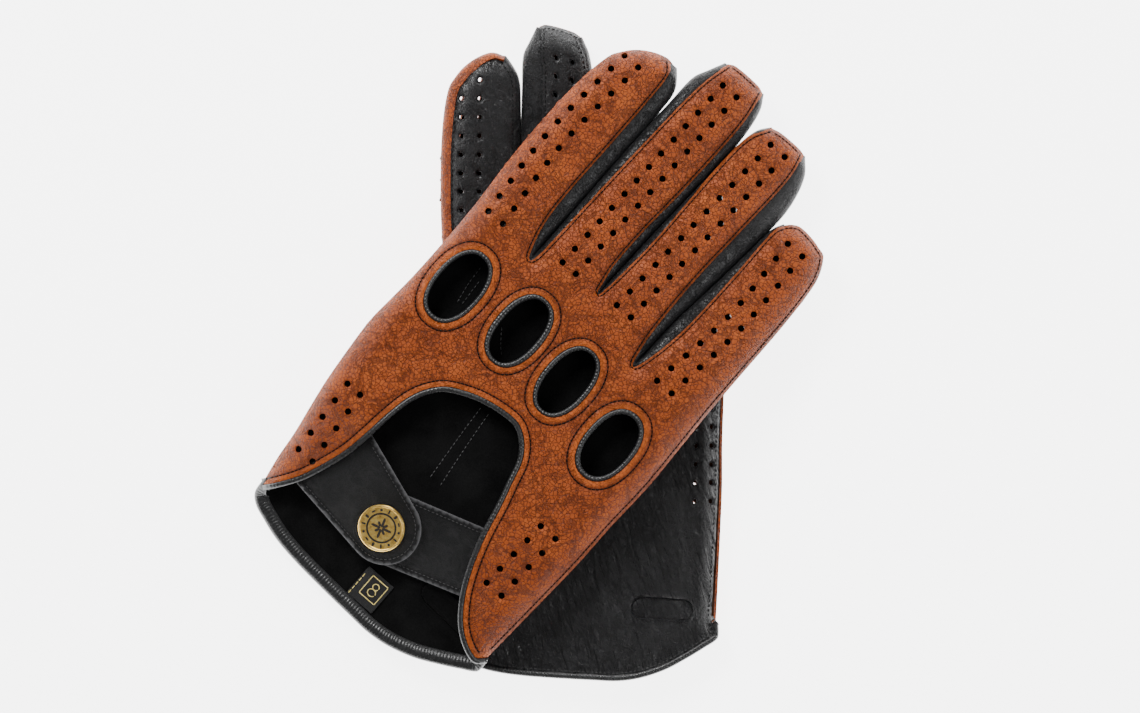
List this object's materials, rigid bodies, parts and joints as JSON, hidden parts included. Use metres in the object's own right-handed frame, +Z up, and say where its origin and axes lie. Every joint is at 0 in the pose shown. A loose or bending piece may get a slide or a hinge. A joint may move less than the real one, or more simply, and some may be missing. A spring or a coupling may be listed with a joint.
{
  "type": "leather driving gloves",
  "caption": "Unlined leather driving gloves with tan backs, black palms, knuckle holes and snap wrist straps, one lying back up across the other, which lies palm up.",
  "frame": {"origin": "centre of the bottom of the bounding box, on the surface the pair lies on", "axes": "+Z up from the table; +Y towards the fingertips of the palm-up left glove; +X from its index side to its little-finger side"},
  "size_m": [0.1892, 0.2168, 0.0276],
  "materials": {
    "tan_leather": "pebbled, satin",
    "black_leather": "pebbled, satin",
    "binding_leather": "smooth, satin",
    "brass": "antique, satin",
    "label_fabric": "woven satin"
  },
  "bodies": {
    "left_glove": {"left_back_panel": "tan_leather", "left_palm_panel": "black_leather", "left_fourchette_index_middle": "black_leather", "left_fourchette_middle_ring": "black_leather", "left_fourchette_ring_little": "black_leather", "left_knuckle_binding_index": "binding_leather", "left_knuckle_binding_middle": "binding_leather", "left_knuckle_binding_ring": "binding_leather", "left_knuckle_binding_little": "binding_leather", "left_opening_binding": "binding_leather", "left_cuff_binding": "binding_leather", "left_strap_inner": "black_leather", "left_snap_stud": "brass", "left_snap_post": "brass", "left_size_label": "label_fabric"},
    "left_strap": {"left_strap_outer": "black_leather", "left_snap_cap": "brass", "left_snap_socket": "brass"},
    "left_thumb": {"left_thumb_back": "tan_leather", "left_thumb_front": "black_leather"},
    "right_glove": {"right_back_panel": "tan_leather", "right_palm_panel": "black_leather", "right_fourchette_index_middle": "black_leather", "right_fourchette_middle_ring": "black_leather", "right_fourchette_ring_little": "black_leather", "right_knuckle_binding_index": "binding_leather", "right_knuckle_binding_middle": "binding_leather", "right_knuckle_binding_ring": "binding_leather", "right_knuckle_binding_little": "binding_leather", "right_opening_binding": "binding_leather", "right_cuff_binding": "binding_leather", "right_strap_inner": "black_leather", "right_snap_stud": "brass", "right_snap_post": "brass", "right_size_label": "label_fabric"},
    "right_strap": {"right_strap_outer": "black_leather", "right_snap_cap": "brass", "right_snap_socket": "brass"},
    "right_thumb": {"right_thumb_back": "tan_leather", "right_thumb_front": "black_leather"}
  },
  "joints": [
    {"name": "right_glove_lift", "type": "slide", "parent": "left_glove", "child": "right_glove", "axis": [0, 0, 1], "range_m": [0, 0.12]},
    {"name": "left_strap_hinge", "type": "hinge", "parent": "left_glove", "child": "left_strap", "pos_m": [-0.01472, -0.07153, 0.001], "axis": [0.2816, 0.9595, 0], "range_deg": [0, 150]},
    {"name": "right_strap_hinge", "type": "hinge", "parent": "right_glove", "child": "right_strap", "pos_m": [-0.06671, -0.03818, 0.02154], "axis": [-0.8162, -0.5254, -0.2405], "range_deg": [0, 150]},
    {"name": "left_thumb_swing", "type": "hinge", "parent": "left_glove", "child": "left_thumb", "pos_m": [-0.02059, -0.03012, 0.01], "axis": [0, 0, 1], "range_deg": [0, 43]},
    {"name": "right_thumb_swing", "type": "hinge", "parent": "right_glove", "child": "right_thumb", "pos_m": [-0.04928, -0.00405, 0.0176], "axis": [0, 0, 1], "range_deg": [0, 60]}
  ]
}
